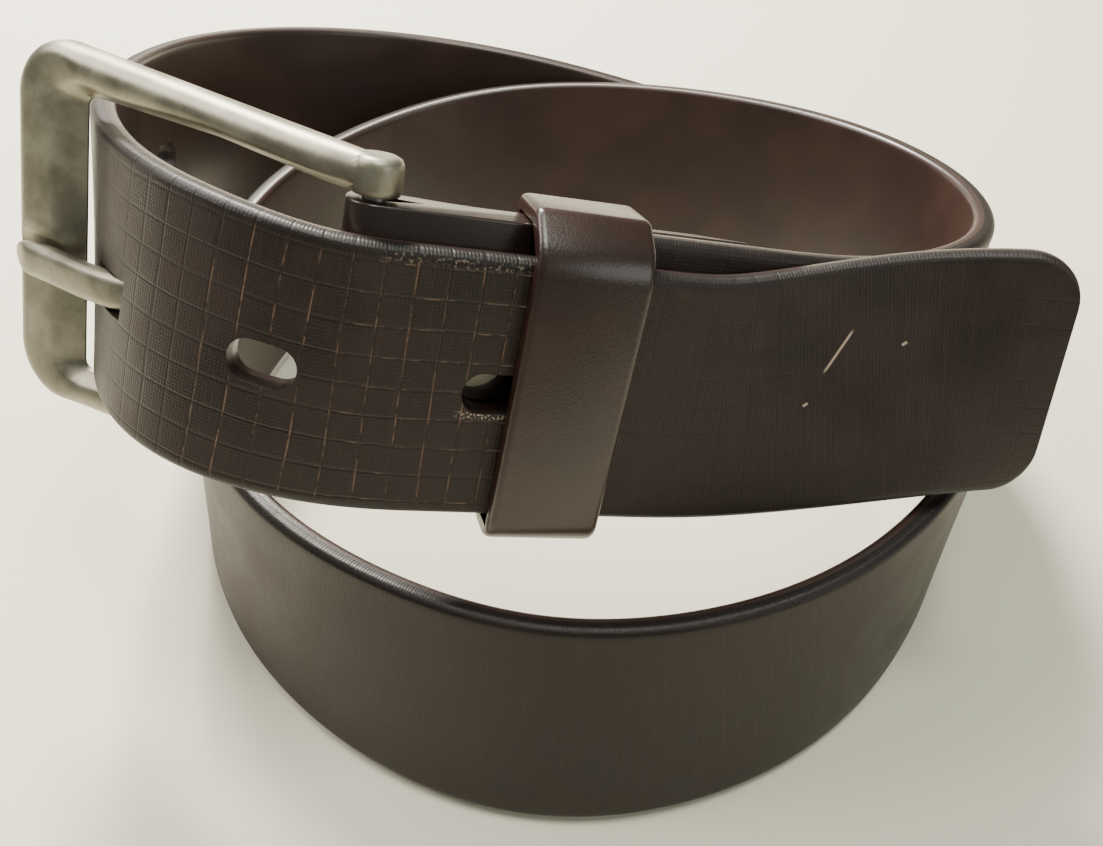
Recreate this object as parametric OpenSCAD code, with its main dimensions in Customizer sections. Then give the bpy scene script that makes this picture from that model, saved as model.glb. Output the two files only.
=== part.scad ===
// Leather belt, buckled and coiled twice round, standing on its lower edge.
// Millimetres. +Z is up, the belt stands on z = 0, and the front of the coil faces -Y.

/* [Strap] */
// Width of the strap
strap_w = 35; // [34:0.5:36]
// Thickness of the embossed outer leather
outer_t = 2; // [1.8:0.1:2.2]
// Thickness of the lining leather
lining_t = 1.5; // [1.3:0.1:1.7]
// Corner radius of the strap's tip
tip_r = 6; // [3:0.5:9]

/* [Adjustment holes] */
// Number of holes, the prong being in the middle one
hole_count = 5; // [3:2:5]
// Distance from hole to hole
hole_pitch = 28; // [25:0.5:30]
// Length of each oval hole, along the strap
hole_len = 8.6; // [7:0.2:11]
// Width of each oval hole
hole_w = 5.2; // [4.5:0.1:6]

/* [Buckle] */
// Length of the frame, from the heel bar's axis to the outer side of the end bar
frame_len = 55.7; // [55:0.1:57]
// Height of the frame
frame_h = 50.4; // [49:0.2:52]
// Width of each side bar
side_bar_w = 6; // [5.5:0.1:6.2]
// Width of the end bar that the prong rests on
end_bar_w = 11.5; // [10:0.5:12]
// Thickness of the frame
frame_t = 4.2; // [3.6:0.1:4.4]
// Radius of the heel bar
bar_r = 1.5; // [1.3:0.1:1.6]
// Angle that the buckle hangs back from the straight front of the strap
buckle_angle = 42.5; // [42:0.1:43]

/* [Keeper] */
// Width of the keeper loop, along the strap
keeper_w = 15; // [10:0.5:16]
// Thickness of the keeper's leather
keeper_t = 2; // [1.5:0.1:2.4]
// Distance from the start of the straight front to the middle of the keeper
keeper_at = 23.5; // [20:0.5:24]

/* [Hidden] */

embossed = "#4a2f28";
plain_leather = "#3a221c";
pewter = "#8f9188";
steel = "#b9bab6";

half_w = strap_w / 2;
strap_t = outer_t + lining_t;
half_t = strap_t / 2;

// The front of the belt is straight and lies in the front frame: x along the strap to the right,
// y up across its width, z out of its face. Its origin is on the strap's middle, close to the heel bar.
front_at = [-21, -41, 64.5];
front_heading = 11.5;
front_climb = -15;
front_lean = 22;

u_dir = [
    cos(front_climb) * cos(front_heading),
    cos(front_climb) * sin(front_heading),
    sin(front_climb)
];
n_dir = face_normal(u_dir, front_lean);
w_dir = cross(n_dir, u_dir);

module at_front() {
    multmatrix([
        [u_dir.x, w_dir.x, n_dir.x, front_at.x],
        [u_dir.y, w_dir.y, n_dir.y, front_at.y],
        [u_dir.z, w_dir.z, n_dir.z, front_at.z]
    ]) children();
}

// Axes of the outer face for a heading and a lean, the top edge leaning inward when positive
function face_normal(along_dir, lean) =
    let (
        outward = cross(along_dir, [0, 0, 1]) / norm(cross(along_dir, [0, 0, 1])),
        upright = cross(outward, along_dir),
        across = cos(lean) * upright - sin(lean) * outward
    )
    cross(along_dir, across);

function front_point(u, w, n) = front_at + u * u_dir + w * w_dir + n * n_dir;

// The strap's route: stations of a smooth curve along the middle of the strap. A free station
// gives x, y, the rise of the strap's lower edge above the table, and the lean.
// The tail lies on the straight front, a little lower and one strap thickness further out.
tail_w = -3.4;
tail_n = 3.95;
coil = [
    [67, -9, 21.5, -1], [69, 19.5, 14, -10], [50.5, 44.5, 8.5, -16], [18, 59, 4.5, -20],
    [-14, 60, 2.5, -20], [-41, 46.5, 0, -11], [-57.5, 21.5, 2.5, -2], [-60.5, -14, 1.5, 6],
    [-48.5, -44, 0.5, 10], [-23, -62.5, 0.5, 20], [5, -70, 0, 23], [38, -61.5, 0, 15],
    [61, -40.5, 0, 5], [76, -8.5, 0, -1], [74.5, 21, 0, -6], [56.5, 44.5, 0, -9],
    [26.5, 60.5, 0, -12], [-5.5, 70, 3.5, -14], [-34.5, 69.5, 8, -14], [-58.5, 56, 15.5, -11],
    [-70.5, 31.5, 25.5, -3], [-69.5, -1.5, 36.5, 6], [-58, -30.5, 48, 24], [-43, -44, 52.5, 34]
];
free_end = [[49.5, -32, 37, 33], [69, -31.5, 36.5, 18], [86.5, -36, 36.5, 9]];

function half_height(lean) = half_w * cos(lean) + half_t * abs(sin(lean));
function station(s) = [s[0], s[1], s[2] + half_height(s[3]), s[3]];
function front_station(u, w, n) = concat(front_point(u, w, n), [front_lean]);
stations = concat(
    [for (u = [-24, 0, 24, 48, 72]) front_station(u, 0, 0)],
    [for (s = coil) station(s)],
    [for (u = [-8, 6, 20, 34, 48]) front_station(u, tail_w, tail_n)],
    [for (s = free_end) station(s)]
);

// A uniform cubic curve through the stations: p counts the stations from the left
function blend(a, b, c, d, t) =
    (pow(1 - t, 3) * a + (3 * t * t * t - 6 * t * t + 4) * b
    + (3 * t + 3 * t * t - 3 * t * t * t + 1) * c + pow(t, 3) * d) / 6;
function route(p) =
    let (i = min(max(floor(p), 1), len(stations) - 3))
    blend(stations[i - 1], stations[i], stations[i + 1], stations[i + 2], p - i);
function middle(p) = let (r = route(p)) [r[0], r[1], r[2]];
function along(p) = let (d = middle(p + 0.01) - middle(p - 0.01)) d / norm(d);

// A point of the strap at p: w up across its width, n out of its face
function place(p, w, n) =
    let (t = along(p), face = face_normal(t, route(p)[3]))
    middle(p) + w * cross(face, t) + n * face;

module at_strap(p) {
    t = along(p);
    face = face_normal(t, route(p)[3]);
    up = cross(face, t);
    c = middle(p);
    multmatrix([
        [t.x, up.x, face.x, c.x],
        [t.y, up.y, face.y, c.y],
        [t.z, up.z, face.z, c.z]
    ]) children();
}

// Distance along the strap from the start of the straight front, and back from a distance to p
p_step = 0.05;
tip_p = 35;
distances = [
    for (p = 1, d = 0; p < tip_p + p_step; d = d + norm(middle(p + p_step) - middle(p)),
        p = p + p_step) [p, d]
];
places = [for (e = distances) [e[1], e[0]]];
function distance_at(p) = lookup(p, distances);
function p_at(d) = lookup(d, places);

// Where things are along the strap: p 1 is the start of the straight front on the way out, and
// p 30 to 32 is the straight part of the tail. The last hole lies at last_hole_p.
front_pitch = 24;
last_hole_p = 30.6;
last_hole_reach = 56;
outer_start_p = 1 + 17 / front_pitch;
lining_start_p = 1 + 26 / front_pitch;
tail_start_p = 32;
middle_hole_d = distance_at(last_hole_p) - last_hole_reach;
tip_d = distance_at(tip_p);
ring_pitch = 6;
columns = 5;

// Rings of the strap from one distance to another, each [p, half width]
function body_rings(d0, d1) =
    let (count = ceil((d1 - d0) / ring_pitch))
    [for (i = [0:count]) [p_at(d0 + (d1 - d0) * i / count), half_w]];
function tip_rings() =
    [for (a = [0:15:90]) [p_at(tip_d - tip_r * (1 - sin(a))), half_w - tip_r * (1 - cos(a))]];
lining_rings = body_rings(distance_at(lining_start_p), distance_at(tail_start_p));
outer_rings = concat([[outer_start_p, half_w]], lining_rings);
tail_rings = concat(body_rings(distance_at(tail_start_p), tip_d - tip_r - 1), tip_rings());

// A layer of leather between the depths n0 and n1, through the rings
module layer(rings, n0, n1) {
    count = len(rings);
    last = columns - 1;
    points = [
        for (n = [n1, n0], ring = rings, j = [0:last]) place(ring[0], ring[1] * (2 * j / last - 1), n)
    ];
    base = count * columns;
    upper = [
        for (i = [0:count - 2], j = [0:last - 1])
            let (a = i * columns + j, b = a + 1, c = a + columns + 1, d = a + columns)
            each [[a, b, c], [a, c, d]]
    ];
    lower = [for (f = upper) [f[2] + base, f[1] + base, f[0] + base]];
    sides = [
        for (i = [0:count - 2])
            let (a = i * columns, b = a + columns, c = a + last, d = b + last)
            each [
                [a, b, b + base], [a, b + base, a + base],
                [d, c, c + base], [d, c + base, d + base]
            ]
    ];
    end = base - columns;
    caps = [
        for (j = [0:last - 1])
            let (a = j + base, b = end + j, c = b + base)
            each [[j + 1, j, a], [j + 1, a, a + 1], [b, b + 1, c + 1], [b, c + 1, c]]
    ];
    polyhedron(points, concat(upper, lower, sides, caps), convexity = 10);
}

outer_n = half_t - outer_t;

// The adjustment holes: ovals, but the leather closes on the prong in the middle one
hole_facets = 12;
module oval() {
    r = hole_w / 2;
    reach = hole_len / 2 - r;
    polygon([
        for (side = [1, -1], i = [0:hole_facets])
            let (a = 180 * i / hole_facets - 90)
            [side * (reach + r * cos(a)), side * r * sin(a)]
    ]);
}
module holes() {
    beyond = (hole_count - 1) / 2;
    for (i = [-beyond:beyond]) {
        if (i != 0)
            at_strap(p_at(middle_hole_d + i * hole_pitch))
                linear_extrude(strap_t + 0.6, center = true) oval();
    }
    at_buckle() prong_room();
}

module strap_outer() {
    color(embossed) difference() {
        layer(outer_rings, outer_n, half_t);
        holes();
        at_front() post_room();
    }
}

module strap_lining() {
    color(plain_leather) difference() {
        layer(lining_rings, -half_t, outer_n);
        holes();
        at_front() post_room();
    }
}

// The loose end of the strap beyond the keeper
module tail_outer() {
    color(embossed) layer(tail_rings, outer_n, half_t);
}

module tail_lining() {
    color(plain_leather) layer(tail_rings, -half_t, outer_n);
}

// The chape wraps the heel bar: its outer lip butts against the strap's outer leather, its inner
// lip lies in the lining's layer, and its long end is turned back behind the lining.
chape_t = 1.8;
turn_back_t = 1.7;
turn_back_u = 47;
running = 0.08;
eye_r = bar_r + running;
fold_r = eye_r + chape_t;
bar_u = -2.4;
bar_n = half_t - fold_r;
lip_u = 17;
inner_lip_u = 26;
back_n = -half_t - turn_back_t;
prong_half_slot = 3.6;
prong_slot_len = fold_r + 6.5;

module chape_profile() {
    difference() {
        polygon(concat(
            [for (a = [90:7.5:270]) [bar_u + fold_r * cos(a), bar_n + fold_r * sin(a)]],
            [
                [2, bar_n - fold_r + 0.35], [7, back_n - 0.3], [11, back_n],
                [turn_back_u - 7, back_n], [turn_back_u, -half_t - 0.6], [turn_back_u, -half_t],
                [inner_lip_u, -half_t], [inner_lip_u, outer_n], [lip_u, outer_n], [lip_u, half_t]
            ]
        ));
        translate([bar_u, bar_n]) circle(eye_r, $fn = 48);
        translate([bar_u, bar_n]) polygon([[0, 1.3], [2.2, 0.9], [6, 0], [2.2, -0.9], [0, -1.3]]);
    }
}

module chape() {
    color(plain_leather) at_front() difference() {
        rotate([90, 0, 0]) linear_extrude(strap_w, center = true) chape_profile();
        translate([bar_u - fold_r - 1, -prong_half_slot, bar_n - fold_r - 1])
            cube([prong_slot_len, 2 * prong_half_slot, 2 * fold_r + 2]);
        post_room();
    }
}

// Two screw posts and screws clamp the chape on either side of the keeper
post_u = [11.8, 41];
post_r = 2;
post_head_r = 4;
post_head_t = 0.9;
sunk = 0.6;
screw_r = 1.25;
fit_gap = 0.05;

module post_room() {
    for (u = post_u) {
        translate([u, 0, 0]) rotate([0, 0, 20]) {
            cylinder(r = post_r + fit_gap, h = 4 * strap_t, center = true, $fn = 48);
            translate([0, 0, half_t - sunk])
                cylinder(r = post_head_r + fit_gap, h = 2 * sunk, $fn = 64);
            translate([0, 0, back_n - sunk])
                cylinder(r = post_head_r + fit_gap, h = 2 * sunk, $fn = 64);
        }
    }
}

module screw_posts() {
    color(pewter) at_front() for (u = post_u) {
        translate([u, 0, 0]) difference() {
            union() {
                translate([0, 0, half_t - sunk]) cylinder(r = post_head_r, h = post_head_t, $fn = 64);
                translate([0, 0, back_n + sunk + fit_gap])
                    cylinder(r = post_r, h = half_t - back_n - 2 * sunk, $fn = 48);
            }
            translate([0, 0, back_n]) cylinder(r = screw_r + fit_gap, h = 4.2, $fn = 48);
        }
    }
}

module chape_screws() {
    color(steel) at_front() for (u = post_u) {
        translate([u, 0, 0]) difference() {
            union() {
                translate([0, 0, back_n + sunk - post_head_t])
                    cylinder(r = post_head_r, h = post_head_t, $fn = 64);
                translate([0, 0, back_n + sunk - 0.1]) cylinder(r = screw_r, h = 3.4, $fn = 48);
            }
            translate([0, 0, back_n + sunk - post_head_t])
                cube([2 * post_head_r + 1, 0.9, 0.8], center = true);
        }
    }
}

// The keeper goes round the main strap, the turned-back chape and the tail, following the edges
// of both layers. Its ends butt at the back and a wire staple joins them.
keeper_gap = 0.3;
keeper_slack = 1.2;
keeper_floor = back_n - 0.7;
staple_reach = 4;
staple_w = 1.2;
staple_t = 0.6;

module keeper_inside() {
    tail_low = tail_w - half_w - keeper_slack;
    tail_high = tail_w + half_w + 0.35;
    tail_face = tail_n + half_t + keeper_gap;
    edge = half_w + 0.35;
    polygon([
        [tail_low, tail_face], [tail_high, tail_face], [edge, 2.1], [edge, keeper_floor],
        [-edge, keeper_floor], [tail_low, 1.7]
    ]);
}

module keeper_loop() {
    color(plain_leather) at_front() translate([keeper_at, 0, 0]) rotate([0, 90, 0]) rotate([0, 0, 90])
        difference() {
            linear_extrude(keeper_w, center = true) difference() {
                offset(r = keeper_t, $fn = 32) keeper_inside();
                keeper_inside();
                translate([0, keeper_floor - keeper_t / 2])
                    square([0.3, 2 * keeper_t], center = true);
            }
            for (side = [-1, 1]) {
                translate([side * staple_reach, keeper_floor - keeper_t / 2, 0])
                    cube([staple_t + 2 * fit_gap, 2 * keeper_t, staple_w + 2 * fit_gap],
                        center = true);
            }
        }
}

module keeper_staple() {
    color(steel) at_front() translate([keeper_at, 0, 0]) rotate([0, 90, 0]) rotate([0, 0, 90]) {
        translate([0, keeper_floor - keeper_t - staple_t / 2 - fit_gap, 0])
            cube([2 * staple_reach + staple_t, staple_t, staple_w], center = true);
        for (side = [-1, 1]) {
            translate([side * staple_reach, keeper_floor - keeper_t / 2 - 0.25, 0])
                cube([staple_t, keeper_t + 0.1, staple_w], center = true);
        }
    }
}

// The buckle hangs back from the heel bar: in its own axes the frame runs to -x
plate_n = -0.3;
corner_r = 8;
inner_half = frame_h / 2 - side_bar_w;
heel_half = 22.6;
boss_r = 3.1;
boss_w = 18;
bar_reach = 21;
bevel_in = 2;
bevel_end = 4.5;
bevel_n = 1.9;
notch_r = 5;
notch_depth = 0.9;
notch_w = -3.6;

module at_buckle() {
    at_front() translate([bar_u, 0, bar_n]) rotate([0, -buckle_angle, 0]) children();
}

module frame_outline() {
    corner_x = corner_r - frame_len;
    side_y = frame_h / 2 - corner_r;
    polygon([
        [0, -heel_half], [0, heel_half], [corner_x, frame_h / 2], [corner_x, side_y],
        [-frame_len, side_y], [-frame_len, -side_y], [corner_x, -side_y], [corner_x, -frame_h / 2]
    ]);
    for (side = [-1, 1]) translate([corner_x, side * side_y]) circle(corner_r, $fn = 64);
}
module frame_opening() {
    left = end_bar_w - frame_len;
    polygon([
        [left, -inner_half], [left, inner_half], [-22, inner_half], [-6, boss_w], [1, boss_w],
        [1, -boss_w], [-6, -boss_w], [-22, -inner_half]
    ]);
}

// The frame's inner edge is bevelled on the outer side, the end bar also inside, and the side
// bars slope down to the heel bar
module bevels() {
    left = end_bar_w - frame_len;
    hull() {
        translate([left, -inner_half, bevel_n]) cube([30, 2 * inner_half, 0.01]);
        translate([left - bevel_end, -inner_half - bevel_in, plate_n + frame_t])
            cube([30 + bevel_end, 2 * (inner_half + bevel_in), 0.01]);
    }
    rotate([90, 0, 0]) linear_extrude(2 * inner_half, center = true)
        polygon([[left + 0.1, 1.4], [left - 2.8, plate_n - 0.1], [left + 0.1, plate_n - 0.1]]);
    rotate([90, 0, 0]) linear_extrude(frame_h, center = true)
        polygon([[-10, plate_n + frame_t], [1, 2.2], [1, frame_t + 1], [-10, frame_t + 1]]);
}

module buckle_frame() {
    boss_len = heel_half - boss_w;
    color(pewter) at_buckle() difference() {
        union() {
            difference() {
                translate([0, 0, plate_n]) linear_extrude(frame_t) difference() {
                    frame_outline();
                    frame_opening();
                }
                bevels();
            }
            for (side = [-1, 1]) {
                translate([0, side * (boss_w + boss_len / 2), 0]) rotate([90, 0, 0])
                    cylinder(r = boss_r, h = boss_len, center = true, $fn = 64);
            }
        }
        rotate([90, 0, 0])
            cylinder(r = bar_r + 0.02, h = 2 * bar_reach + 0.1, center = true, $fn = 48);
        translate([-frame_len, notch_w, plate_n + frame_t - notch_depth + notch_r])
            rotate([0, 90, 0]) cylinder(r = notch_r, h = 3 * end_bar_w, center = true, $fn = 96);
    }
}

module heel_bar() {
    color(steel) at_buckle() rotate([90, 0, 0])
        cylinder(r = bar_r, h = 2 * bar_reach, center = true, $fn = 48);
}

// The prong's eye turns on the heel bar; its shank passes out through the strap's middle hole
// and lies on the end bar
prong_eye_r = 3.1;
prong_eye_w = 5.5;
prong_w = 4.6;
prong_yaw = 4;
prong_root_w = -0.4;
prong_upper = [
    [-0.5, 3.1], [-20, 5.6], [-28, 8.8], [-33, 9.4], [-38, 9], [-46, 7.6], [-51.7, 6.6], [-54.3, 5.2]
];
prong_lower = [
    [-53.2, 3.98], [-45.5, 4.1], [-40, 5.6], [-34, 6.1], [-29, 5.4], [-20, 2.4], [-2, -1]
];
lift_room = 1.2;

module prong_shape(w, up, down) {
    upper = [for (q = prong_upper) q + [0, up]];
    lower = [for (q = prong_lower) q - [0, down]];
    translate([0, prong_root_w, 0]) rotate([0, 0, prong_yaw]) rotate([90, 0, 0])
        linear_extrude(w, center = true) polygon(concat(upper, lower));
}
module prong_room() {
    prong_shape(prong_w + 0.7, 0.3 + lift_room, 0.3);
}

module prong() {
    color(pewter) at_buckle() difference() {
        union() {
            translate([0, prong_root_w, 0]) rotate([90, 0, 0])
                cylinder(r = prong_eye_r, h = prong_eye_w, center = true, $fn = 64);
            prong_shape(prong_w, 0, 0);
        }
        rotate([90, 0, 0]) cylinder(r = eye_r, h = 2 * prong_eye_w, center = true, $fn = 48);
    }
}

strap_outer();
strap_lining();
tail_outer();
tail_lining();
chape();
screw_posts();
chape_screws();
keeper_loop();
keeper_staple();
buckle_frame();
heel_bar();
prong();
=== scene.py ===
"""Leather belt, buckled and coiled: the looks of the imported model."""
import bpy
import numpy as np
from mathutils import Matrix, Vector


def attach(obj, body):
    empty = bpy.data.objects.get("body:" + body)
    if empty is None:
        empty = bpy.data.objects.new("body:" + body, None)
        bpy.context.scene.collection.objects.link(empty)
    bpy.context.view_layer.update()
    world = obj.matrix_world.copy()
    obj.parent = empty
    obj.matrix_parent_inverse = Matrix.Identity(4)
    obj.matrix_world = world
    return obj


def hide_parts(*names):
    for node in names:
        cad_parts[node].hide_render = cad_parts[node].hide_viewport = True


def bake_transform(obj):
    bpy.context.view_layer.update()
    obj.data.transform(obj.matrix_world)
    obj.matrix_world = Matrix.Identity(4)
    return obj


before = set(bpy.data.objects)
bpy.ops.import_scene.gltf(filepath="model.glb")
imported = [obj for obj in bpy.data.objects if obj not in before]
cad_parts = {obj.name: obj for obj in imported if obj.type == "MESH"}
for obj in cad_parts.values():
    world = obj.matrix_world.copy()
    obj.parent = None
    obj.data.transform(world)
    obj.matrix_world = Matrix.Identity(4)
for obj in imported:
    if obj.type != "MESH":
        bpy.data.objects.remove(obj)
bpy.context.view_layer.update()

MM = 0.001
HALF_W, HALF_T, OUTER_N = 17.5, 1.75, -0.25
TIP_R = 6
TAIL_W, TAIL_N = -3.4, 3.95
UP = np.array([0, 0, 1.0])

# ---------------------------------------------------------------- the strap's route, as in the CAD
FRONT_AT = np.array([-21, -41, 64.5])
LEAN_DEGREES = 22
HEADING, CLIMB, LEAN = np.radians([11.5, -15, LEAN_DEGREES])
# the stations of the straight front on the way out of the buckle, and of the tail on its return
FRONT_PITCH, FRONT_U = 24, (-24, 0, 24, 48, 72)
TAIL_PITCH, TAIL_U = 14, (-8, 6, 20, 34, 48)
COIL = [
    (67, -9, 21.5, -1), (69, 19.5, 14, -10), (50.5, 44.5, 8.5, -16), (18, 59, 4.5, -20),
    (-14, 60, 2.5, -20), (-41, 46.5, 0, -11), (-57.5, 21.5, 2.5, -2), (-60.5, -14, 1.5, 6),
    (-48.5, -44, 0.5, 10), (-23, -62.5, 0.5, 20), (5, -70, 0, 23), (38, -61.5, 0, 15),
    (61, -40.5, 0, 5), (76, -8.5, 0, -1), (74.5, 21, 0, -6), (56.5, 44.5, 0, -9),
    (26.5, 60.5, 0, -12), (-5.5, 70, 3.5, -14), (-34.5, 69.5, 8, -14), (-58.5, 56, 15.5, -11),
    (-70.5, 31.5, 25.5, -3), (-69.5, -1.5, 36.5, 6), (-58, -30.5, 48, 24), (-43, -44, 52.5, 34),
]
FREE_END = [(49.5, -32, 37, 33), (69, -31.5, 36.5, 18), (86.5, -36, 36.5, 9)]


def axes_of(along, lean):
    out = np.cross(along, UP)
    out /= np.linalg.norm(out)
    upright = np.cross(out, along)
    across = np.cos(lean) * upright - np.sin(lean) * out
    return across, np.cross(along, across)


U = np.array([np.cos(CLIMB) * np.cos(HEADING), np.cos(CLIMB) * np.sin(HEADING), np.sin(CLIMB)])
W, N = axes_of(U, LEAN)


def front(u, w, n):
    return FRONT_AT + u * U + w * W + n * N


def station(x, y, rise, lean):
    lean_r = np.radians(lean)
    z = rise + HALF_W * np.cos(lean_r) + HALF_T * abs(np.sin(lean_r))
    return [x, y, z, lean]


STATIONS = np.array(
    [[*front(u, 0, 0), LEAN_DEGREES] for u in FRONT_U]
    + [station(*s) for s in COIL]
    + [[*front(u, TAIL_W, TAIL_N), LEAN_DEGREES] for u in TAIL_U]
    + [station(*s) for s in FREE_END]
)


def route(p):
    """Place and lean on a uniform cubic curve; p counts the stations from the first."""
    i = int(np.clip(np.floor(p), 1, len(STATIONS) - 3))
    t = p - i
    a, b, c, d = STATIONS[i - 1:i + 3]
    return ((1 - t) ** 3 * a + (3 * t ** 3 - 6 * t * t + 4) * b
            + (3 * t + 3 * t * t - 3 * t ** 3 + 1) * c + t ** 3 * d) / 6


def strap_axes(p):
    """Middle of the strap at p, and its directions along, across and out."""
    r = route(p)
    along = route(p + 0.01)[:3] - route(p - 0.01)[:3]
    along /= np.linalg.norm(along)
    across, out = axes_of(along, np.radians(r[3]))
    return r[:3], along, across, out


TIP_P = 35
P_TABLE = np.arange(1, TIP_P + 0.001, 0.01)
MIDDLES = np.array([route(p)[:3] for p in P_TABLE])
D_TABLE = np.concatenate([[0], np.cumsum(np.linalg.norm(np.diff(MIDDLES, axis=0), axis=1))])


def distance_at(p):
    return float(np.interp(p, P_TABLE, D_TABLE))


def p_at(d):
    return float(np.interp(d, D_TABLE, P_TABLE))


def front_p(u):
    """The station number u millimetres along the straight front, on the way out."""
    return 1 + u / FRONT_PITCH


def tail_p(u):
    """The station number u millimetres along the straight front, on the tail's return."""
    return 30 + (u - TAIL_U[1]) / TAIL_PITCH


TIP_D = distance_at(TIP_P)
# five holes, the prong in the middle one and the last near the keeper
HOLE_LEN, HOLE_W, HOLE_PITCH = 8.6, 5.2, 28
LAST_HOLE_P = 30.6
MIDDLE_HOLE_D = distance_at(LAST_HOLE_P) - 2 * HOLE_PITCH
KEEPER_AT, KEEPER_HALF = 23.5, 7.5
# the strap's skins end and the tail's begin under the middle of the keeper, where it can't be seen
SPLIT_D = distance_at(tail_p(KEEPER_AT))
# where the outer leather and the lining begin, against the two lips of the fold
LIP_U, INNER_LIP_U = 17, 26

# ---------------------------------------------------------------- meshes


def make_mesh(name, verts_mm, faces, uvs=None, smooth=35):
    mesh = bpy.data.meshes.new(name)
    mesh.from_pydata((np.asarray(verts_mm) * MM).tolist(), [], faces)
    if uvs is not None:
        layer = mesh.uv_layers.new(name="UVMap")
        loop_verts = np.empty(len(mesh.loops), dtype=np.int32)
        mesh.loops.foreach_get("vertex_index", loop_verts)
        layer.data.foreach_set("uv", np.asarray(uvs)[loop_verts].ravel())
    mesh.validate()
    face_outward(mesh)
    finish_mesh(mesh, smooth)
    obj = bpy.data.objects.new(name, mesh)
    bpy.context.scene.collection.objects.link(obj)
    return obj


def face_outward(mesh):
    """Turn a closed mesh the right way out if its volume comes out negative."""
    co = np.empty(len(mesh.vertices) * 3)
    mesh.vertices.foreach_get("co", co)
    co = co.reshape(-1, 3) - co.reshape(-1, 3).mean(axis=0)
    volume = 0.0
    for face in mesh.polygons:
        v = co[list(face.vertices)]
        for i in range(1, len(v) - 1):
            volume += np.dot(v[0], np.cross(v[i], v[i + 1]))
    if volume < 0:
        mesh.flip_normals()


def finish_mesh(mesh, smooth):
    mesh.polygons.foreach_set("use_smooth", [True] * len(mesh.polygons))
    mesh.set_sharp_from_angle(angle=np.radians(smooth))
    mesh.update()


def bake(obj, smooth=35):
    """Apply the object's modifiers to its mesh."""
    graph = bpy.context.evaluated_depsgraph_get()
    mesh = bpy.data.meshes.new_from_object(obj.evaluated_get(graph))
    obj.modifiers.clear()
    obj.data = mesh
    finish_mesh(mesh, smooth)


def cut(obj, tools):
    for tool in tools:
        mod = obj.modifiers.new("cut", "BOOLEAN")
        mod.operation, mod.solver, mod.object = "DIFFERENCE", "EXACT", tool
    bake(obj)


def bevel(obj, width, angle):
    """Round the edges that are sharper than an angle, in degrees."""
    mod = obj.modifiers.new("bevel", "BEVEL")
    mod.width, mod.segments, mod.limit_method = width * MM, 3, "ANGLE"
    mod.angle_limit = np.radians(angle)
    bake(obj, 40)


def drop(objects):
    for obj in objects:
        bpy.data.objects.remove(obj)


def tube_faces(rings, points):
    """Faces of a closed tube of rings, ring i's points running the same way, with end caps."""
    faces = []
    for i in range(rings - 1):
        for j in range(points):
            k = (j + 1) % points
            faces.append((i * points + j, i * points + k, (i + 1) * points + k, (i + 1) * points + j))
    faces.append(tuple(range(points - 1, -1, -1)))
    faces.append(tuple((rings - 1) * points + j for j in range(points)))
    return faces


def arc(cx, cy, r, a0, a1, count):
    """Points round a centre from one angle to another, in degrees."""
    return [(cx + r * np.cos(np.radians(a)), cy + r * np.sin(np.radians(a)))
            for a in np.linspace(a0, a1, count)]


def strap_layer(name, d0, d1, section):
    """A layer of the strap swept from one distance to another through a section of (w, n)."""
    pitch, round_from = 1.5, TIP_D - TIP_R
    count = max(2, int(np.ceil((d1 - d0) / pitch)) + 1)
    stops = [d for d in np.linspace(d0, d1, count) if d < round_from]
    if d1 > round_from:
        stops += [TIP_D - TIP_R * (1 - np.sin(a)) for a in np.radians(np.arange(0, 91, 7.5))]
    verts, uvs = [], []
    for d in stops:
        middle, _, across, out = strap_axes(p_at(d))
        half = HALF_W
        if d > round_from:
            half = HALF_W - TIP_R + np.sqrt(max(TIP_R ** 2 - (TIP_R - TIP_D + d) ** 2, 0))
        for w, n in section:
            w_here = w * half / HALF_W
            verts.append(middle + w_here * across + n * out)
            uvs.append((d * MM, w_here * MM))
    return make_mesh(name, verts, tube_faces(len(stops), len(section)), uvs)


def outer_section():
    """The outer leather: a flat face and underside, and rounded outer edges."""
    edge_r = 1.3
    face = [(w, HALF_T) for w in np.linspace(-15.6, 15.6, 27)]
    left = arc(-HALF_W + edge_r, HALF_T - edge_r, edge_r, 180, 95, 7)
    right = arc(HALF_W - edge_r, HALF_T - edge_r, edge_r, 85, 0, 7)
    under = [(w, OUTER_N) for w in (HALF_W, 9, 0, -9, -HALF_W)]
    return (left + face + right + under)[::-1]


def lining_section():
    """The lining: flat where it meets the outer leather, and rounded at its back edges."""
    edge_r = 1
    face = [(w, -HALF_T) for w in np.linspace(15.8, -15.8, 15)]
    right = arc(HALF_W - edge_r, -HALF_T + edge_r, edge_r, 0, -85, 6)
    left = arc(-HALF_W + edge_r, -HALF_T + edge_r, edge_r, -95, -180, 6)
    upper = [(w, OUTER_N) for w in (-HALF_W, -9, 0, 9, HALF_W)]
    return (right + face + left + upper)[::-1]


def oval_tool(d):
    """A cutter for an adjustment hole, flared at the outer face for a worn rim."""
    middle, along, across, out = strap_axes(p_at(d))
    levels = [(-3.2, 0), (1.35, 0), (1.6, 0.08), (2.3, 0.5)]
    verts = []
    for n, grow in levels:
        r = HOLE_W / 2 + grow
        reach = HOLE_LEN / 2 - HOLE_W / 2
        ring = arc(reach, 0, r, -90, 90, 16) + arc(-reach, 0, r, 90, 270, 16)
        verts += [middle + x * along + y * across + n * out for x, y in ring]
    return make_mesh("tool", verts, tube_faces(len(levels), len(ring)))


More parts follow.
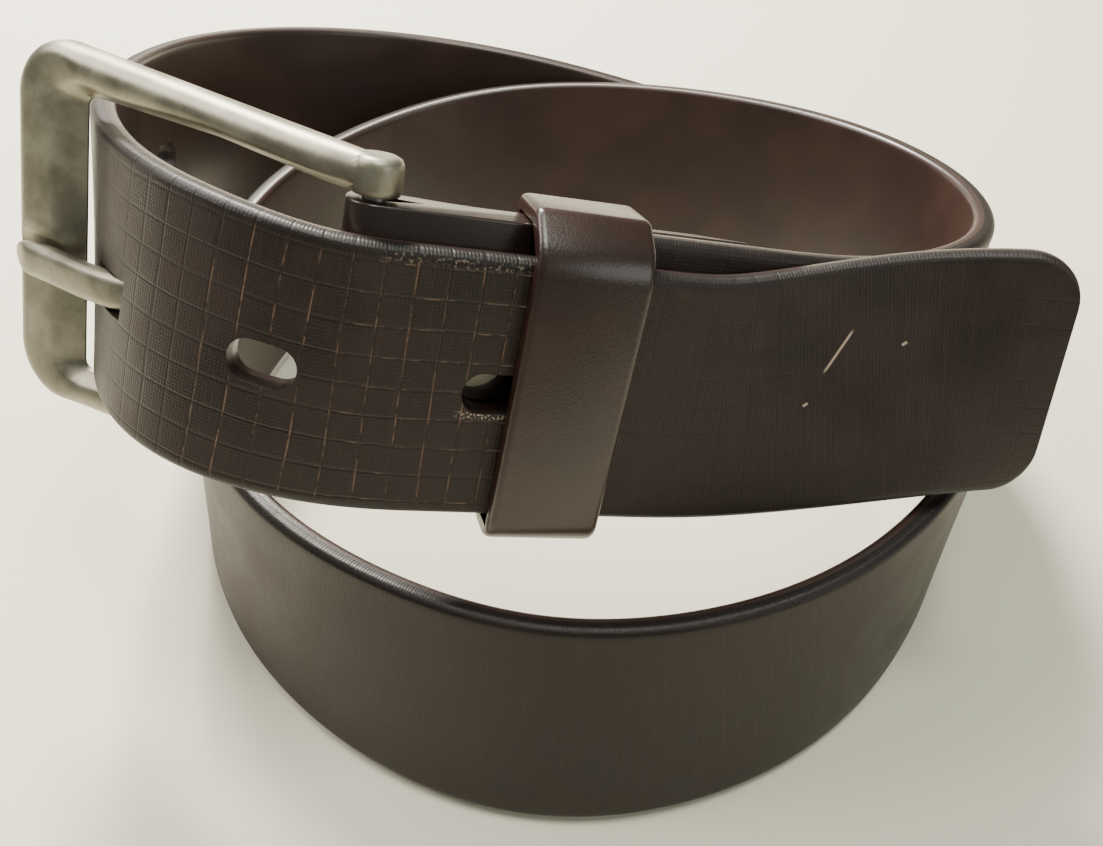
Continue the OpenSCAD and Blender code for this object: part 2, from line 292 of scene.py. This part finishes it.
# ---------------------------------------------------------------- the buckle's axes
BAR_U, BAR_R, RUNNING, CHAPE_T = -2.4, 1.5, 0.08, 1.8
EYE_R = BAR_R + RUNNING
FOLD_R = EYE_R + CHAPE_T
BAR_N = HALF_T - FOLD_R
SWING = np.radians(42.5)
BU = U * np.cos(SWING) + N * np.sin(SWING)
BN = N * np.cos(SWING) - U * np.sin(SWING)
BAR_AT = front(BAR_U, 0, BAR_N)


def buckle(x, w, n):
    return BAR_AT + x * BU + w * W + n * BN


YAW = np.radians(4)
PRONG_W = -0.4


def on_prong(x, w, n):
    return buckle(x * np.cos(YAW) - w * np.sin(YAW), PRONG_W + x * np.sin(YAW) + w * np.cos(YAW), n)


PRONG_TOP = [
    (-0.5, 3.1), (-20, 5.6), (-28, 8.8), (-33, 9.4), (-38, 9), (-46, 7.6), (-51.7, 6.6), (-54.3, 5.2),
]
PRONG_LOW = [(-53.2, 3.98), (-45.5, 4.1), (-40, 5.6), (-34, 6.1), (-29, 5.4), (-20, 2.4), (-2, -1)]


def prong_tool():
    """A cutter a little wider and taller than the prong, for the hole that it fills."""
    over, under, half_w = 1.5, 0.3, 2.65
    profile = [(x, n + over) for x, n in PRONG_TOP] + [(x, n - under) for x, n in PRONG_LOW]
    verts = [on_prong(x, w, n) for w in (-half_w, half_w) for x, n in profile]
    return make_mesh("tool", verts, tube_faces(2, len(profile)))


# ---------------------------------------------------------------- the leather pieces
def build_strap():
    """The two layers of the strap, each split under the keeper where the loose tail begins."""
    d_outer, d_lining = distance_at(front_p(LIP_U)), distance_at(front_p(INNER_LIP_U))
    pieces = {
        "strap_outer_skin": strap_layer("strap_outer_skin", d_outer, SPLIT_D, outer_section()),
        "strap_lining_skin": strap_layer("strap_lining_skin", d_lining, SPLIT_D, lining_section()),
        "tail_outer_skin": strap_layer("tail_outer_skin", SPLIT_D, TIP_D, outer_section()),
        "tail_lining_skin": strap_layer("tail_lining_skin", SPLIT_D, TIP_D, lining_section()),
    }
    tools = [oval_tool(MIDDLE_HOLE_D + i * HOLE_PITCH) for i in (-2, -1, 1, 2)] + [prong_tool()]
    cut(pieces["strap_outer_skin"], tools)
    cut(pieces["strap_lining_skin"], tools)
    drop(tools)
    return pieces


def extrude_profile(name, profile, place, depths):
    """A closed outline of (a, b) points, swept through the depths by place(a, b, depth)."""
    verts = [place(a, b, depth) for depth in depths for a, b in profile]
    return make_mesh(name, verts, tube_faces(len(depths), len(profile)))


def build_chape():
    """The fold round the heel bar, its two lips, and its long end turned back behind the strap."""
    back, turn_back_u, half_slot = -HALF_T - 1.7, 47, 3.6
    profile = [(BAR_U + FOLD_R * np.cos(np.radians(a)), BAR_N + FOLD_R * np.sin(np.radians(a)))
               for a in np.arange(90, 271, 5)]
    profile += [(2, BAR_N - FOLD_R + 0.35), (7, back - 0.3), (11, back),
                (turn_back_u - 7, back), (turn_back_u, -HALF_T - 0.6), (turn_back_u, -HALF_T),
                (INNER_LIP_U, -HALF_T), (INNER_LIP_U, OUTER_N), (LIP_U, OUTER_N), (LIP_U, HALF_T)]
    skin = extrude_profile("chape_skin", profile, lambda u, n, w: front(u, w, n), (HALF_W, -HALF_W))
    bevel(skin, 0.45, 50)
    eye = [(BAR_U + EYE_R * np.cos(a), BAR_N + EYE_R * np.sin(a))
           for a in np.radians(np.arange(0, 360, 7.5))]
    drop_shape = [(0, 1.3), (2.2, 0.9), (6, 0), (2.2, -0.9), (0, -1.3)]
    slot = [(-8, -8), (3.1, -8), (3.1, 6), (-8, 6)]
    tools = [
        extrude_profile("tool", eye, lambda u, n, w: front(u, w, n), (20, -20)),
        extrude_profile("tool", drop_shape, lambda u, n, w: front(BAR_U + u, w, BAR_N + n), (-20, 20)),
        extrude_profile("tool", slot, lambda u, n, w: front(u, w, n), (-half_slot, half_slot)),
    ]
    post_u, post_r, head_r, sunk = (11.8, 41), 2.05, 4.05, 0.6
    for u in post_u:
        for r, n0, n1 in ((post_r, -9, 6), (head_r, HALF_T - sunk, 6), (head_r, -9, back + sunk)):
            ring = arc(0, 0, r, 0, 350, 36)
            tools.append(extrude_profile(
                "tool", ring, lambda a, b, n, u=u: front(u + a, b, n), (n0, n1)))
    cut(skin, tools)
    drop(tools)
    return skin


def build_keeper():
    """The keeper: a band round the strap and the tail, softly rounded at its bends and edges."""
    thick, upper_bend_r, lower_bend_r, per_bend = 2.0, 7.0, 3.5, 7
    low, high, face, edge, floor = -22.1, 14.45, 6.0, 17.85, -4.15
    inner = [(low, face), (high, face), (edge, 2.1), (edge, floor), (-edge, floor), (low, 1.7)]
    pts = np.array(inner, float)
    outer = []
    for i in range(len(pts)):
        a, b, c = pts[i - 1], pts[i], pts[(i + 1) % len(pts)]
        n1 = np.array([-(b - a)[1], (b - a)[0]]) / np.linalg.norm(b - a)
        n2 = np.array([-(c - b)[1], (c - b)[0]]) / np.linalg.norm(c - b)
        a1, a2 = np.arctan2(n1[1], n1[0]), np.arctan2(n2[1], n2[0])
        turn = (a2 - a1 + np.pi) % (2 * np.pi) - np.pi
        radius = {0: lower_bend_r, 1: upper_bend_r}.get(i, thick)
        centre = b - (radius - thick) * (n1 + n2) / (1 + n1 @ n2)
        outer += [centre + radius * np.array([np.cos(a1 + turn * f), np.sin(a1 + turn * f)])
                  for f in np.linspace(0, 1, per_bend)]
    dense = [np.array(q) for q in inner for _ in range(per_bend)]
    # a closed band: the outer loop at a row of depths, drawn in at the edges to round them, and
    # then the inner loop, which has sharp corners and so uses only one point of each bend
    rows = [(-KEEPER_HALF, 0.75), (0.15 - KEEPER_HALF, 0.35), (0.5 - KEEPER_HALF, 0.1), (1 - KEEPER_HALF, 0),
            (KEEPER_HALF - 1, 0), (KEEPER_HALF - 0.5, 0.1), (KEEPER_HALF - 0.15, 0.35), (KEEPER_HALF, 0.75)]
    k = len(outer)
    verts, faces = [], []
    for depth, pull in rows:
        for o, i in zip(outer, dense):
            q = o + (i - o) / np.linalg.norm(i - o) * pull
            verts.append(front(KEEPER_AT + depth, q[0], q[1]))
    for depth in (KEEPER_HALF, -KEEPER_HALF):
        for i in dense:
            verts.append(front(KEEPER_AT + depth, i[0], i[1]))
    loops = len(rows) + 2
    for r in range(loops):
        s = (r + 1) % loops
        for j in range(k):
            m = (j + 1) % k
            quad = (r * k + j, r * k + m, s * k + m, s * k + j)
            if r >= len(rows) - 1 and j % per_bend != per_bend - 1:
                if r in (len(rows) - 1, loops - 1):
                    faces.append(quad)
                continue
            faces.append(quad)
    skin = make_mesh("keeper_skin", verts, faces, smooth=50)
    merge(skin)
    staple_reach, leg_half_w, leg_half_depth = 4, 0.35, 0.65
    tools = [back_cutter(0, 0.15, 9)]
    tools += [back_cutter(w, leg_half_w, leg_half_depth) for w in (-staple_reach, staple_reach)]
    cut(skin, tools)
    drop(tools)
    return skin


def back_cutter(w, half_w, half_depth):
    """A cutter through the keeper's back, for the butt joint or a leg of the staple."""
    outline = [(w - half_w, -9), (w + half_w, -9), (w + half_w, -3), (w - half_w, -3)]
    return extrude_profile("tool", outline, lambda a, n, u: front(KEEPER_AT + u, a, n),
                           (-half_depth, half_depth))


def merge(obj):
    """Join the points that lie in one place."""
    mod = obj.modifiers.new("weld", "WELD")
    mod.merge_threshold = 0.001 * MM
    bake(obj, 50)


# ---------------------------------------------------------------- the metal pieces
FRAME_TOP = 3.9


def frame_loops():
    """Matching points of the frame's outer and inner edges, from one heel boss round to the other."""
    half, inner, length, end_w, heel = 25.2, 19.2, 55.7, 11.5, 22.6
    corner_r, inner_r = 8, 1.5
    steps, turn, end_steps = 22, 16, 24
    left, corner = end_w - length, corner_r - length
    outer, inside = [], []
    for f in np.linspace(0, 1, steps):
        x = 0.3 + (corner - 0.3) * f
        outer.append((x, -(heel + (half - heel) * f)))
        xi = max(x, left + inner_r)
        inside.append((xi, -float(np.interp(-xi, (6, 22), (18, inner)))))
    outer += arc(corner, -half + corner_r, corner_r, 268, 180, turn)[1:]
    inside += arc(left + inner_r, -inner + inner_r, inner_r, 268, 180, turn)[1:]
    side = len(outer)
    outer += [(-length, y) for y in np.linspace(-half + corner_r, half - corner_r, end_steps)[1:]]
    inside += [(left, y) for y in np.linspace(-inner + inner_r, inner - inner_r, end_steps)[1:]]
    # the other side bar mirrors the first; its first point is the end bar's last
    for loop in (outer, inside):
        loop += [(x, -y) for x, y in loop[side - 2::-1]]
    return outer, inside


def build_frame():
    """The frame: one rounded section carried round the loops, bevelled on its inner edge."""
    outer, inside = frame_loops()
    verts = []
    for (xo, yo), (xi, yi) in zip(outer, inside):
        width = np.hypot(xi - xo, yi - yo)
        # the inner edge slopes most along the middle of the end bar, and the bars thin to the heel
        share = np.clip((-xo - 38) / 12, 0, 1) * np.clip((29 - abs(yo)) / 8, 0, 1)
        top = FRAME_TOP - 0.9 * np.clip((xo + 12) / 12, 0, 1) ** 1.5
        over, under = 1.6 + 2.9 * share, 0.5 + 2.3 * share
        round_w = 2.4
        section = [(0.5, -0.3), (0.12, -0.1), (0, 0.35)]
        section += [(round_w * (1 - np.cos(a)), 1.1 + (top - 1.1) * np.sin(a))
                    for a in np.radians((0, 14, 28, 42, 55, 67, 78))]
        crest = width - over
        section += [(min(round_w, crest - 0.2), top), (crest, top),
                    (crest + 0.25 * over, top - 0.12 * (top - 1.6)),
                    (crest + 0.5 * over, top - 0.36 * (top - 1.6)),
                    (crest + 0.78 * over, top - 0.72 * (top - 1.6)), (width - 0.04, 1.62),
                    (width, 1.4), (width - under, -0.3)]
        for s, n in section:
            verts.append(buckle(xo + (xi - xo) * s / width, yo + (yi - yo) * s / width, n))
    skin = make_mesh("buckle_frame_skin", verts, tube_faces(len(outer), len(section)), smooth=50)
    # the shallow rest that the prong's tip lies in
    notch_w, notch_r, notch_depth = -3.6, 5, 0.9
    notch = extrude_profile(
        "tool", arc(notch_w, FRAME_TOP - notch_depth + notch_r, notch_r, 0, 355, 72),
        lambda w, n, x: buckle(x, w, n), (-75, -40))
    cut(skin, [notch])
    drop([notch])
    bosses = []
    for side in (-1, 1):
        rows = [(18, 2.5), (18.1, 2.85), (18.4, 3.05), (19, 3.1), (21.2, 3.1), (21.8, 2.98),
                (22.3, 2.7), (22.55, 2.2), (22.6, 1.5)]
        ring = np.radians(np.arange(0, 360, 7.5))
        vs = [buckle(r * np.cos(a), side * w, r * np.sin(a)) for w, r in rows for a in ring]
        bosses.append(make_mesh("boss", vs, tube_faces(len(rows), len(ring)), smooth=40))
    return unite(skin, bosses)


def unite(obj, others):
    for other in others:
        mod = obj.modifiers.new("unite", "BOOLEAN")
        mod.operation, mod.solver, mod.object = "UNION", "EXACT", other
    bake(obj)
    drop(others)
    return obj


def smoothed(line, x):
    """Height at x of a line of (x, n) points, averaged over 2 mm on either side."""
    at, height = zip(*sorted(line))
    return np.mean([np.interp(x + step, at, height) for step in (-2, -1, 0, 1, 2)])


def build_prong():
    """The prong: an eye on the heel bar, and a rounded shank that rises over the strap and ends
    blunt over the end bar."""
    half_w, blunt_from, tip_x = 2.3, -49.7, -54.3
    xs = np.concatenate([np.linspace(-0.5, -46, 36), np.linspace(-47.2, tip_x, 16)])
    verts = []
    points = 28
    for x in xs:
        high, low = smoothed(PRONG_TOP, x), smoothed(PRONG_LOW + [(tip_x, 4.4)], x)
        half = half_w
        if x < blunt_from:
            half = half_w * np.sqrt(max(1 - ((blunt_from - x) / 4.75) ** 2, 0.02))
            high -= 0.9 * ((blunt_from - x) / 4.6) ** 2
        mid, rise = (high + low) / 2, max((high - low) / 2, 0.2)
        for a in np.linspace(0, 2 * np.pi, points, endpoint=False):
            c, s = np.cos(a), np.sin(a)
            out_w = np.sign(c) * abs(c) ** 0.6
            out_n = np.sign(s) * abs(s) ** 0.6
            verts.append(on_prong(x, half * out_w, mid + rise * out_n))
    skin = make_mesh("prong_skin", verts, tube_faces(len(xs), points), smooth=60)
    ring = np.radians(np.arange(0, 360, 7.5))
    rows = [(-2.75, 2.8), (-2.6, 3.0), (-2.3, 3.1), (2.3, 3.1), (2.6, 3.0), (2.75, 2.8)]
    vs = [buckle(r * np.cos(a), PRONG_W + w, r * np.sin(a)) for w, r in rows for a in ring]
    eye = make_mesh("eye", vs, tube_faces(len(rows), len(ring)), smooth=40)
    unite(skin, [eye])
    bore = extrude_profile("tool", [(EYE_R * np.cos(a), EYE_R * np.sin(a)) for a in ring],
                           lambda x, n, w: buckle(x, w, n), (6, -6))
    cut(skin, [bore])
    drop([bore])
    return skin


# ---------------------------------------------------------------- materials
class Nodes:
    """A small helper to wire a material's nodes."""

    def __init__(self, name):
        self.mat = bpy.data.materials.new(name)
        self.mat.use_nodes = True
        self.tree = self.mat.node_tree
        self.bsdf = self.tree.nodes["Principled BSDF"]

    def put(self, socket, value):
        if hasattr(value, "is_linked"):
            self.tree.links.new(value, socket)
        elif value is not None:
            socket.default_value = value

    def math(self, op, a, b=None):
        node = self.tree.nodes.new("ShaderNodeMath")
        node.operation = op
        for socket, value in zip(node.inputs, (a, b)):
            self.put(socket, value)
        return node.outputs[0]

    def ramp(self, value, low, high, out_low=0.0, out_high=1.0):
        node = self.tree.nodes.new("ShaderNodeMapRange")
        node.interpolation_type = "SMOOTHSTEP"
        for socket, v in zip(node.inputs, (value, low, high, out_low, out_high)):
            self.put(socket, v)
        return node.outputs[0]

    def noise(self, vector, scale, detail, rough=0.5):
        node = self.tree.nodes.new("ShaderNodeTexNoise")
        self.put(node.inputs["Vector"], vector)
        node.inputs["Scale"].default_value = scale
        node.inputs["Detail"].default_value = detail
        node.inputs["Roughness"].default_value = rough
        return node.outputs["Fac"]

    def mix(self, fac, a, b):
        node = self.tree.nodes.new("ShaderNodeMix")
        node.data_type = "RGBA"
        self.put(node.inputs["Factor"], fac)
        colour_sockets = [s for s in node.inputs if s.type == "RGBA"]
        self.put(colour_sockets[0], a)
        self.put(colour_sockets[1], b)
        return [s for s in node.outputs if s.type == "RGBA"][0]

    def combine(self, x, y):
        node = self.tree.nodes.new("ShaderNodeCombineXYZ")
        for socket, v in zip(node.inputs, (x, y)):
            self.put(socket, v)
        return node.outputs[0]

    def bump(self, height, strength, distance):
        node = self.tree.nodes.new("ShaderNodeBump")
        node.inputs["Strength"].default_value = strength
        node.inputs["Distance"].default_value = distance
        self.put(node.inputs["Height"], height)
        self.tree.links.new(node.outputs[0], self.bsdf.inputs["Normal"])

    def place(self):
        """Object coordinates, in metres."""
        node = self.tree.nodes.new("ShaderNodeTexCoord")
        return node.outputs["Object"]

    def along_and_across(self):
        """The strap's own coordinates in metres: both as a vector, then along, then across."""
        uv = self.tree.nodes.new("ShaderNodeUVMap")
        uv.uv_map = "UVMap"
        split = self.tree.nodes.new("ShaderNodeSeparateXYZ")
        self.tree.links.new(uv.outputs[0], split.inputs[0])
        return uv.outputs[0], split.outputs[0], split.outputs[1]


def near(m, value, centre, full, reach):
    """1 where value is within full of centre, falling to 0 at reach from it."""
    return m.ramp(m.math("ABSOLUTE", m.math("SUBTRACT", value, centre)), full, reach, 1.0, 0.0)


# in metres, as all sizes in the materials are
GRID, HALF_WEAVE = 0.0039, 0.00023


def grid_lines(m, value, half_width):
    """Fine lines one grid step apart, 1 on the line."""
    saw = m.math("PINGPONG", m.math("ADD", value, 800 * GRID), GRID / 2)
    return m.ramp(saw, 0.0, half_width, 1.0, 0.0)


def scratch(m, s, w, start, end, width):
    """A pale nick from one (s, w) point to another."""
    (s0, w0), (s1, w1) = start, end
    length = float(np.hypot(s1 - s0, w1 - w0))
    a, b = (s1 - s0) / length, (w1 - w0) / length
    ds, dw = m.math("SUBTRACT", s, (s0 + s1) / 2), m.math("SUBTRACT", w, (w0 + w1) / 2)
    along = m.math("ADD", m.math("MULTIPLY", ds, a), m.math("MULTIPLY", dw, b))
    side = m.math("SUBTRACT", m.math("MULTIPLY", ds, b), m.math("MULTIPLY", dw, a))
    return m.math("MULTIPLY", near(m, along, 0.0, length * 0.35, length / 2),
                  near(m, side, 0.0, 0.0, width))


def embossed_leather():
    """Outer leather: fine weave, an embossed grid, cracks by the holes, a few nick marks, and pale specks
    painted along the top edge as a painted highlight.
    """
    m = Nodes("embossed_leather")
    uv, s, w = m.along_and_across()
    hole = MIDDLE_HOLE_D * MM
    wander = m.math("MULTIPLY", m.math("SUBTRACT", m.noise(uv, 70, 1), 0.5), 0.0007)
    s_moved, w_moved = m.math("ADD", s, wander), m.math("ADD", w, wander)
    lines = m.math("MAXIMUM", grid_lines(m, s_moved, 0.0003), grid_lines(m, w_moved, 0.0003))
    worn = near(m, s, hole + 0.036, 0.028, 0.046)
    patchy = m.ramp(m.noise(uv, 26, 2), 0.42, 0.7, 0.1, 0.5)
    presence = m.math("MAXIMUM", m.math("MULTIPLY", worn, 0.8), patchy)
    lines = m.math("MULTIPLY", lines, presence)
    # cracks: long hairlines across the strap beside the holes, a whole grid of them by the last one
    by_first = near(m, s, hole + 0.0285, 0.006, 0.012)
    by_last = near(m, s, hole + 0.050, 0.011, 0.016)
    across = m.math("MULTIPLY", grid_lines(m, s_moved, 0.00014), m.math("MAXIMUM", by_first, by_last))
    across = m.math("MULTIPLY", across, m.ramp(m.noise(uv, 200, 3, 0.7), 0.44, 0.62))
    length_w = m.math("MULTIPLY", grid_lines(m, w_moved, 0.00012), by_last)
    length_w = m.math("MULTIPLY", length_w, m.ramp(m.noise(uv, 260, 3, 0.7), 0.46, 0.64))
    off_edge = m.ramp(m.math("ABSOLUTE", w), 0.0155, 0.0168, 1, 0)
    cracks = m.math("MULTIPLY", m.math("MAXIMUM", across, length_w), off_edge)
    nicks_and_painted_glints = scratch(m, s, w, (hole + 0.1013, 0.0030), (hole + 0.1058, 0.0088), 0.00028)
    for spot in ((0.0985, -0.0012), (0.1122, 0.0056)):
        start, end = (hole + spot[0], spot[1]), (hole + spot[0] + 0.0008, spot[1] + 0.0004)
        nick = scratch(m, s, w, start, end, 0.0003)
        nicks_and_painted_glints = m.math("MAXIMUM", nicks_and_painted_glints, nick)
    # the last open hole's frayed lower rim, and a painted highlight of pale specks along the top edge above
    # it
    fibres = m.math("MULTIPLY", near(m, w, -0.0030, 0.0002, 0.0007),
                    near(m, s, hole + 0.0555, 0.0032, 0.0048))
    fibres = m.math("MULTIPLY", fibres, m.ramp(m.noise(uv, 3000, 2), 0.5, 0.64, 0.0, 0.75))
    painted_edge_glints = m.math("MULTIPLY", near(m, w, 0.0163, 0.0003, 0.0008),
                    near(m, s, hole + 0.049, 0.006, 0.011))
    painted_edge_glints = m.math("MULTIPLY", painted_edge_glints, m.ramp(m.noise(uv, 1900, 2), 0.54, 0.66, 0.0, 0.3))
    # the pale marks: real nicks and frayed fibres, together with the painted highlight specks on the top
    # edge
    nicks_and_painted_glints = m.math("MAXIMUM", nicks_and_painted_glints, m.math("MAXIMUM", fibres, painted_edge_glints))
    weave_s = m.math("PINGPONG", m.math("ADD", s, 4.0), HALF_WEAVE)
    weave_w = m.math("PINGPONG", m.math("ADD", w, 4.0), HALF_WEAVE)
    weave = m.math("ADD", m.ramp(weave_s, 0, HALF_WEAVE),
                   m.math("MULTIPLY", m.ramp(weave_w, 0, HALF_WEAVE), 0.6))
    grain = m.noise(uv, 3600, 3, 0.6)
    blotch = m.noise(uv, 90, 3, 0.55)
    streak = m.noise(m.combine(m.math("MULTIPLY", s, 1500.0), m.math("MULTIPLY", w, 90.0)), 1.0, 3, 0.6)
    edge = m.ramp(m.math("ABSOLUTE", w), 0.0156, 0.0172)
    height = m.math("MULTIPLY", grain, 0.55)
    height = m.math("ADD", height, m.math("MULTIPLY", weave, 0.17))
    height = m.math("SUBTRACT", height, m.math("MULTIPLY", lines, 0.55))
    height = m.math("SUBTRACT", height, m.math("MULTIPLY", cracks, 0.9))
    m.bump(height, 0.55, 0.00016)
    base = m.mix(m.ramp(blotch, 0.35, 0.7), (0.0125, 0.0058, 0.0050, 1), (0.023, 0.0112, 0.0092, 1))
    base = m.mix(m.ramp(streak, 0.5, 0.8, 0.0, 0.55), base, (0.046, 0.018, 0.015, 1))
    base = m.mix(m.ramp(grain, 0.45, 0.75, 0.0, 0.35), base, (0.048, 0.031, 0.025, 1))
    base = m.mix(m.math("MULTIPLY", lines, 0.55), base, (0.006, 0.003, 0.0028, 1))
    base = m.mix(m.math("MULTIPLY", cracks, 0.75), base, (0.26, 0.145, 0.095, 1))
    base = m.mix(m.math("MULTIPLY", edge, 0.8), base, (0.007, 0.0036, 0.0033, 1))
    # one pale colour for the nicks and frayed fibres, and for the painted highlight specks on the top edge
    base = m.mix(nicks_and_painted_glints, base, (0.55, 0.42, 0.33, 1))
    m.put(m.bsdf.inputs["Base Color"], base)
    rough = m.math("ADD", m.ramp(blotch, 0.3, 0.7, 0.36, 0.46), m.math("MULTIPLY", grain, 0.1))
    m.put(m.bsdf.inputs["Roughness"], rough)
    m.bsdf.inputs["Specular IOR Level"].default_value = 0.42
    return m.mat


def plain_leather(name, dark, light, rough, bump):
    """Smooth leather, waxed a little, for the lining, the fold and the keeper."""
    m = Nodes(name)
    where = m.place()
    grain = m.noise(where, 2600, 3, 0.6)
    blotch = m.noise(where, 70, 3, 0.5)
    m.put(m.bsdf.inputs["Base Color"], m.mix(m.ramp(blotch, 0.35, 0.7), dark, light))
    m.put(m.bsdf.inputs["Roughness"], m.math("ADD", m.math("MULTIPLY", grain, 0.1), rough))
    m.bsdf.inputs["Specular IOR Level"].default_value = 0.55
    m.bsdf.inputs["Coat Weight"].default_value = 0.25
    m.bsdf.inputs["Coat Roughness"].default_value = 0.22
    m.bump(m.math("ADD", grain, m.math("MULTIPLY", blotch, 1.5)), bump, 0.00012)
    return m.mat


def metal(name, dark, light, rough):
    """Aged metal, cloudy and finely pitted."""
    m = Nodes(name)
    where = m.place()
    blotch = m.noise(where, 160, 4, 0.6)
    fine = m.noise(where, 1800, 2, 0.6)
    m.put(m.bsdf.inputs["Base Color"], m.mix(m.ramp(blotch, 0.35, 0.68), dark, light))
    m.put(m.bsdf.inputs["Roughness"], m.math("ADD", m.ramp(blotch, 0.3, 0.7, rough, rough + 0.1),
                                             m.math("MULTIPLY", fine, 0.06)))
    m.bsdf.inputs["Metallic"].default_value = 1.0
    m.bump(fine, 0.18, 0.00005)
    return m.mat


# ---------------------------------------------------------------- assemble
pieces = build_strap()
chape = build_chape()
keeper = build_keeper()
buckle_frame = build_frame()
prong = build_prong()

EMBOSSED = embossed_leather()
LINING = plain_leather("lining_leather", (0.026, 0.0125, 0.010, 1), (0.044, 0.021, 0.016, 1), 0.36, 0.25)
SMOOTH = plain_leather("smooth_leather", (0.016, 0.0078, 0.0062, 1), (0.030, 0.0142, 0.0105, 1), 0.26, 0.2)
KEEPER = plain_leather("keeper_leather", (0.020, 0.0078, 0.0058, 1), (0.036, 0.0138, 0.0098, 1), 0.27, 0.3)
NICKEL = metal("antique_nickel", (0.24, 0.222, 0.175, 1), (0.37, 0.345, 0.28, 1), 0.38)
STEEL = metal("satin_steel", (0.40, 0.40, 0.38, 1), (0.5, 0.5, 0.48, 1), 0.3)


def dress(obj, material, slot):
    """Give a piece its one material; the slot argument is not used."""
    obj.data.materials.clear()
    obj.data.materials.append(material)


for name, body, node, material, slot in (
        ("strap_outer_skin", "strap", "strap_outer", EMBOSSED, "embossed_leather"),
        ("strap_lining_skin", "strap", "strap_lining", LINING, "plain_leather")):
    dress(pieces[name], material, slot)
    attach(pieces[name], body)
    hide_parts(node)
for name, node, material, slot in (
        ("tail_outer_skin", "tail_outer", EMBOSSED, "embossed_leather"),
        ("tail_lining_skin", "tail_lining", LINING, "plain_leather")):
    dress(pieces[name], material, slot)
    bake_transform(pieces[name])
    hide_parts(node)
for obj, body, node, material, slot in (
        (chape, "strap", "chape", SMOOTH, "plain_leather"),
        (keeper, "keeper", "keeper_loop", KEEPER, "plain_leather"),
        (buckle_frame, "buckle", "buckle_frame", NICKEL, "buckle_metal"),
        (prong, "prong", "prong", NICKEL, "buckle_metal")):
    dress(obj, material, slot)
    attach(obj, body)
    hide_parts(node)
for node, material in (("screw_posts", NICKEL), ("chape_screws", STEEL), ("keeper_staple", STEEL),
                       ("heel_bar", STEEL)):
    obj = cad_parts[node]
    for i in range(len(obj.material_slots)):
        obj.material_slots[i].material = material

# ---------------------------------------------------------------- floor, lights, camera
floor_mesh = bpy.data.meshes.new("floor")
floor_mesh.from_pydata([(-3, -3, 0), (3, -3, 0), (3, 3, 0), (-3, 3, 0)], [], [(0, 1, 2, 3)])
floor = bpy.data.objects.new("floor", floor_mesh)
bpy.context.scene.collection.objects.link(floor)
ground = Nodes("floor_paper")
ground.bsdf.inputs["Base Color"].default_value = (0.86, 0.81, 0.66, 1)
ground.bsdf.inputs["Roughness"].default_value = 0.7
floor_mesh.materials.append(ground.mat)


def area_light(name, at, aim, size, power, colour=(1, 1, 1)):
    data = bpy.data.lights.new(name, "AREA")
    data.shape, data.size, data.size_y = "RECTANGLE", size[0], size[1]
    data.energy, data.color = power, colour
    obj = bpy.data.objects.new(name, data)
    bpy.context.scene.collection.objects.link(obj)
    obj.location = at
    obj.rotation_euler = (Vector(aim) - Vector(at)).to_track_quat("-Z", "Y").to_euler()


area_light("lamp_behind", (-0.16, 0.42, 0.46), (-0.03, 0, 0.03), (0.16, 0.12), 12.0, (1.0, 0.955, 0.86))
area_light("window", (-0.46, 0.12, 0.50), (-0.05, 0, 0.03), (0.34, 0.30), 3.0, (1.0, 0.97, 0.90))
area_light("overhead", (0.10, 0.02, 0.70), (0, 0, 0.03), (0.30, 0.16), 2.6, (0.94, 1.0, 0.88))
area_light("side", (0.45, -0.30, 0.34), (-0.03, 0.02, 0.03), (0.30, 0.24), 0.6, (0.98, 1.0, 0.94))

world = bpy.data.worlds.new("room")
world.use_nodes = True
world.node_tree.nodes["Background"].inputs["Color"].default_value = (0.92, 1.0, 0.88, 1)
world.node_tree.nodes["Background"].inputs["Strength"].default_value = 0.24
bpy.context.scene.world = world

PITCH, ROLL = np.radians(49.0), np.radians(1.88)
forward = np.array([0, np.cos(PITCH), -np.sin(PITCH)])
right, up = np.array([1.0, 0, 0]), np.array([0, np.sin(PITCH), np.cos(PITCH)])
cam_x = np.cos(ROLL) * right + np.sin(ROLL) * up
cam_y = -np.sin(ROLL) * right + np.cos(ROLL) * up
camera_data = bpy.data.cameras.new("camera")
camera_data.sensor_width = 36
camera_data.lens = 34.53
camera = bpy.data.objects.new("camera", camera_data)
bpy.context.scene.collection.objects.link(camera)
turn = np.eye(4)
turn[:3, 0], turn[:3, 1], turn[:3, 2] = cam_x, cam_y, -forward
turn[:3, 3] = (0.0006, -0.1332, 0.1567)
camera.matrix_world = Matrix(turn.tolist())
camera_data.clip_start = 0.01
bpy.context.scene.camera = camera
